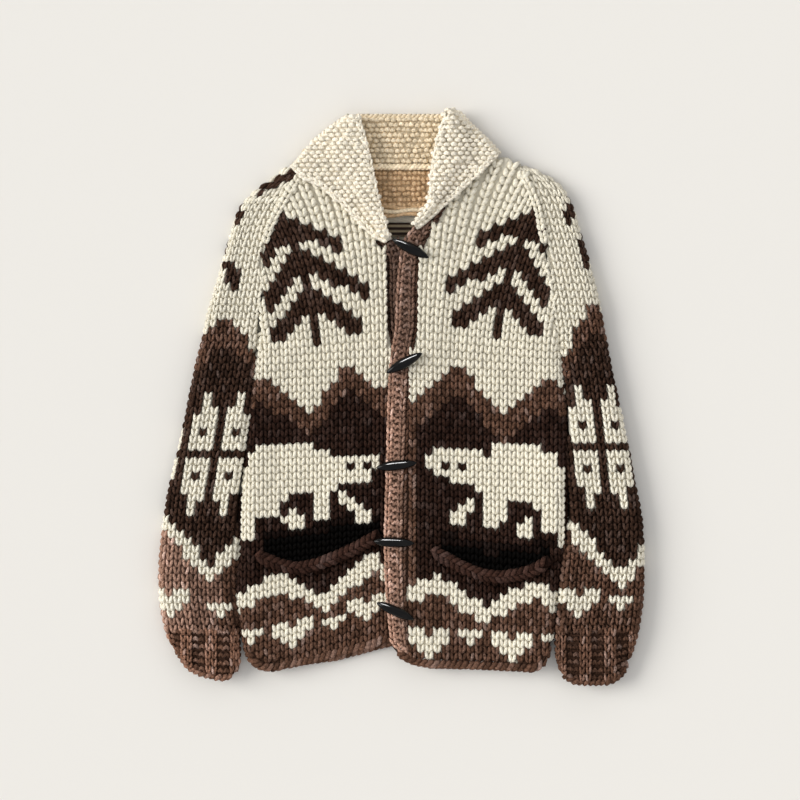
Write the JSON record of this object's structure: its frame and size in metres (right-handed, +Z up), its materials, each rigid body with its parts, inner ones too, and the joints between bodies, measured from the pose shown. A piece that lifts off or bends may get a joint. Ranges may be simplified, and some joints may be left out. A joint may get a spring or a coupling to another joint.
{
  "type": "toggle cardigan",
  "caption": "Bulky hand-knitted cardigan lying flat, with a folded shawl collar, raglan sleeves, ribbed cuffs, sagging front pockets and a banded front closed by horn toggles.",
  "frame": {"origin": "middle of the underside of the whole garment as it lies flat, level with the surface it rests on", "axes": "+Z up out of the front, +Y towards the collar, +X towards the viewer's right when looking down with the collar at the top"},
  "size_m": [0.655, 0.779, 0.0459],
  "materials": {
    "cream_knit": "undyed cream wool, bulky knit with dark brown and mid-brown motifs",
    "brown_knit": "mid-brown wool, bulky knit, ribbed or rolled",
    "label_cloth": "dark woven label without text",
    "horn": "polished black horn"
  },
  "bodies": {
    "root": {"back": "cream_knit", "front_left": "cream_knit", "front_right": "cream_knit", "sleeve_left": "cream_knit", "sleeve_right": "cream_knit", "collar_back": "cream_knit", "collar_left": "cream_knit", "collar_right": "cream_knit", "neck_facing": "cream_knit", "cuff_left": "brown_knit", "cuff_right": "brown_knit", "band_left": "brown_knit", "band_right": "brown_knit", "pocket_edge_left": "brown_knit", "pocket_edge_right": "brown_knit", "hem_back": "brown_knit", "hem_left": "brown_knit", "hem_right": "brown_knit", "neck_label": "label_cloth", "toggle_1": "horn", "toggle_2": "horn", "toggle_3": "horn", "toggle_4": "horn", "toggle_5": "horn"}
  },
  "joints": []
}
